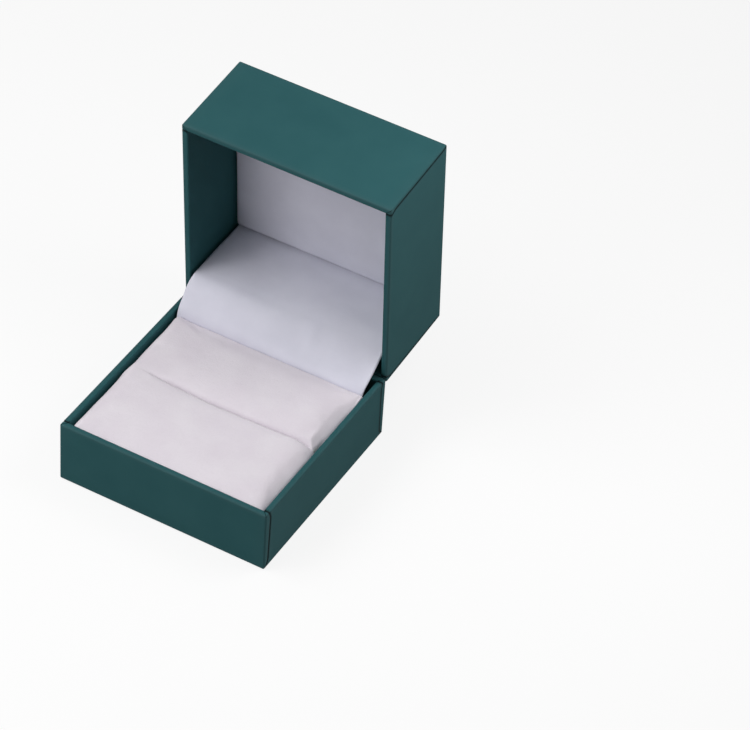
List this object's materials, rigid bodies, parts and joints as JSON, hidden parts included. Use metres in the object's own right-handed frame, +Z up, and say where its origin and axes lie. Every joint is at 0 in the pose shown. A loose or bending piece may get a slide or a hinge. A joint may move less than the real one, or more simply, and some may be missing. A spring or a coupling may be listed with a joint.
{
  "type": "hinged ring gift box",
  "caption": "Hinged gift box for a ring: paper-wrapped greyboard base and lid on a sprung steel hinge, with a slotted velvet cushion and a padded lid.",
  "frame": {"origin": "centre of the underside, on the surface the box stands on", "axes": "+X to the right along the hinge pin, +Y to the rear where the hinge is, +Z up; the lid stands open"},
  "size_m": [0.052, 0.0752, 0.0687],
  "materials": {
    "teal_paper": "matte",
    "greyboard": "matte",
    "gummed_tape": "matte",
    "white_card": "matte",
    "foam": "matte",
    "white_velvet": "matte",
    "white_satin": "satin",
    "hinge_steel": "satin",
    "spring_steel": "satin"
  },
  "bodies": {
    "base": {"base_board": "greyboard", "base_corner_tapes": "gummed_tape", "base_wrap": "teal_paper", "underside_sheet": "teal_paper", "cushion_card": "white_card", "cushion_foam_front": "foam", "cushion_foam_rear": "foam", "cushion_cover": "white_velvet", "hinge_flap": "white_satin", "hinge_base_leaf": "hinge_steel", "base_rivets": "hinge_steel", "hinge_pin": "hinge_steel", "hinge_spring": "spring_steel"},
    "lid": {"lid_board": "greyboard", "lid_corner_tapes": "gummed_tape", "lid_wrap": "teal_paper", "lid_pad_card": "white_card", "lid_pad_foam": "foam", "lid_pad_cover": "white_satin", "hinge_lid_leaf": "hinge_steel", "lid_rivets": "hinge_steel"}
  },
  "joints": [
    {"name": "lid_hinge", "type": "hinge", "parent": "base", "child": "lid", "pos_m": [0, 0.0255, 0.0162], "axis": [1, 0, 0], "range_deg": [0, 86], "deforming": ["hinge_flap", "hinge_spring"]}
  ]
}
